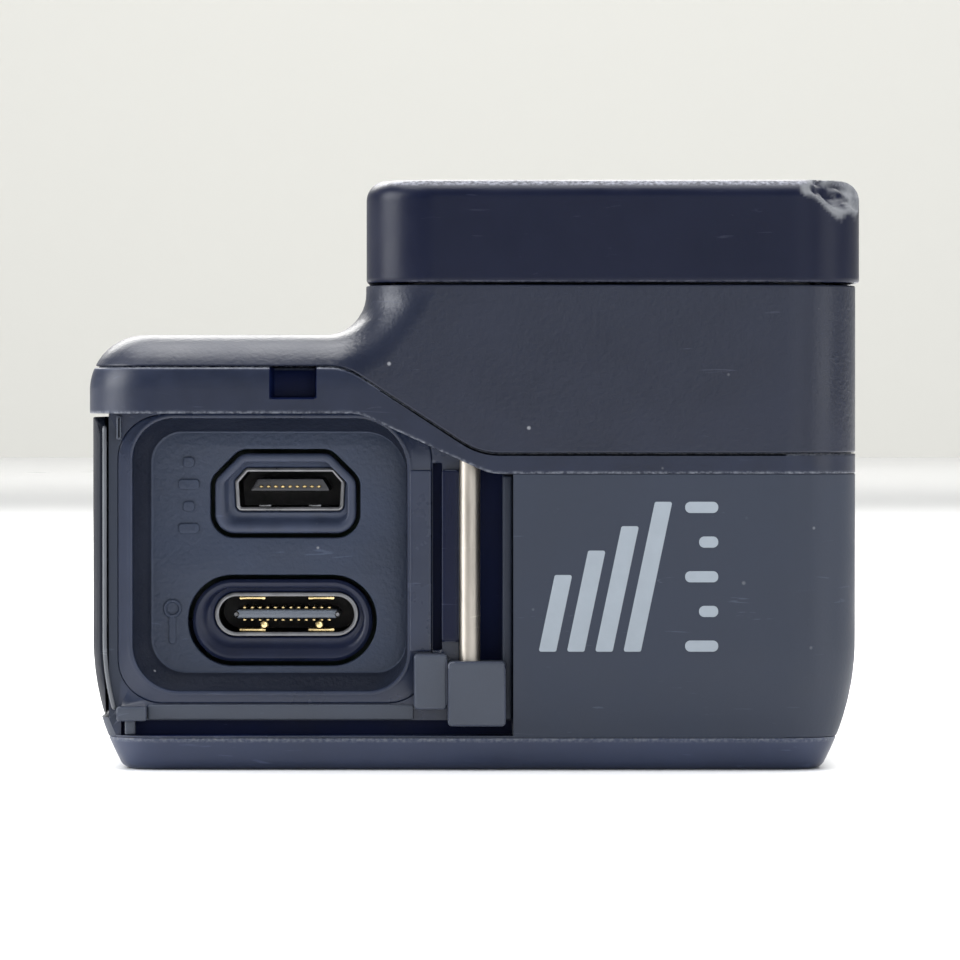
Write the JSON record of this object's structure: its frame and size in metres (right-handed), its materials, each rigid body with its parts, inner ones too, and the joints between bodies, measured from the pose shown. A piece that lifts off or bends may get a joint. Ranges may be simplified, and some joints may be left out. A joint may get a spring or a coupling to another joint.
{
  "type": "action camera",
  "caption": "Small rugged action camera with a raised square lens cover, rear screen, hinged battery door, press buttons and an uncovered port bay with its steel hinge rod.",
  "frame": {"origin": "centre of the part's box in X and Y, at its lowest level in Z, which is the rear bezel's rim it lies on", "axes": "+Z the way the lens looks, +X towards the shutter-button side, -Y the side with the open port bay, +Y the mode-button side"},
  "size_m": [0.0446, 0.0624, 0.034],
  "materials": {
    "shell_plastic": "satin",
    "band_plastic": "satin",
    "housing_rubber": "matte",
    "bezel_plastic": "semi-gloss",
    "screw_steel": "satin",
    "dark_glass": "polished",
    "display_module": "gloss",
    "port_plastic": "fine grain",
    "port_rubber": "matte",
    "socket_steel": "satin",
    "socket_plastic": "matte",
    "contact_gold": "polished",
    "circuit_board": "satin",
    "rod_steel": "satin",
    "cover_plastic": "satin",
    "clear_glass": "polished",
    "seal_rubber": "matte",
    "barrel_plastic": "matte",
    "ring_metal": "anodised",
    "lens_glass": "polished",
    "sensor_package": "gloss",
    "battery_wrap": "satin",
    "bay_plastic": "matte",
    "card_plastic": "matte",
    "spreader_metal": "satin",
    "light_plastic": "gloss",
    "mesh_steel": "satin",
    "button_plastic": "satin",
    "record_red": "gloss"
  },
  "bodies": {
    "camera": {"front_shell": "shell_plastic", "mid_band": "band_plastic", "main_housing": "housing_rubber", "rear_bezel": "bezel_plastic", "case_screws": "screw_steel", "touch_glass": "dark_glass", "rear_display": "display_module", "port_plate": "port_plastic", "hdmi_seal": "port_rubber", "usb_seal": "port_rubber", "hdmi_shell": "socket_steel", "usb_shell": "socket_steel", "hdmi_tongue": "socket_plastic", "usb_tongue": "socket_plastic", "hdmi_contacts": "contact_gold", "usb_contacts": "contact_gold", "battery_contacts": "contact_gold", "port_board": "circuit_board", "main_board": "circuit_board", "sensor_board": "circuit_board", "key_board": "circuit_board", "door_hinge_rod": "rod_steel", "lens_cover_seal": "seal_rubber", "lens_barrel": "barrel_plastic", "lens_ring": "ring_metal", "front_lens": "lens_glass", "inner_lenses": "lens_glass", "image_sensor": "sensor_package", "battery": "battery_wrap", "battery_bay": "bay_plastic", "card_reader": "screw_steel", "memory_card": "card_plastic", "board_shield": "screw_steel", "heat_spreader": "spreader_metal", "status_window": "dark_glass", "status_display": "display_module", "status_light": "light_plastic", "microphones": "screw_steel", "speaker": "bay_plastic", "speaker_mesh": "mesh_steel", "battery_door_pin": "rod_steel", "shutter_switch": "bay_plastic", "mode_switch": "bay_plastic"},
    "lens_cover": {"lens_cover": "cover_plastic", "lens_cover_glass": "clear_glass"},
    "battery_door": {"battery_door": "housing_rubber", "battery_door_seal": "seal_rubber"},
    "battery_latch": {"battery_latch": "band_plastic"},
    "shutter_button": {"shutter_button": "button_plastic", "record_ring": "record_red"},
    "mode_button": {"mode_button": "button_plastic"}
  },
  "joints": [
    {"name": "lens_cover_twist", "type": "hinge", "parent": "camera", "child": "lens_cover", "pos_m": [0.00803, -0.01688, 0.03], "axis": [0, 0, 1], "range_deg": [0, 45]},
    {"name": "battery_door_hinge", "type": "hinge", "parent": "camera", "child": "battery_door", "pos_m": [-0.021, 0.013, 0.01175], "axis": [0, 0, -1], "range_deg": [0, 90]},
    {"name": "battery_latch_slide", "type": "slide", "parent": "battery_door", "child": "battery_latch", "axis": [0, 1, 0], "range_m": [0, 0.0018], "stiffness_N_per_m": 300, "springref_m": -0.001},
    {"name": "shutter_press", "type": "slide", "parent": "camera", "child": "shutter_button", "axis": [-1, 0, 0], "range_m": [0, 0.0004], "stiffness_N_per_m": 1500, "springref_m": -0.0003},
    {"name": "mode_press", "type": "slide", "parent": "camera", "child": "mode_button", "axis": [0, -1, 0], "range_m": [0, 0.00035], "stiffness_N_per_m": 1500, "springref_m": -0.0003}
  ]
}
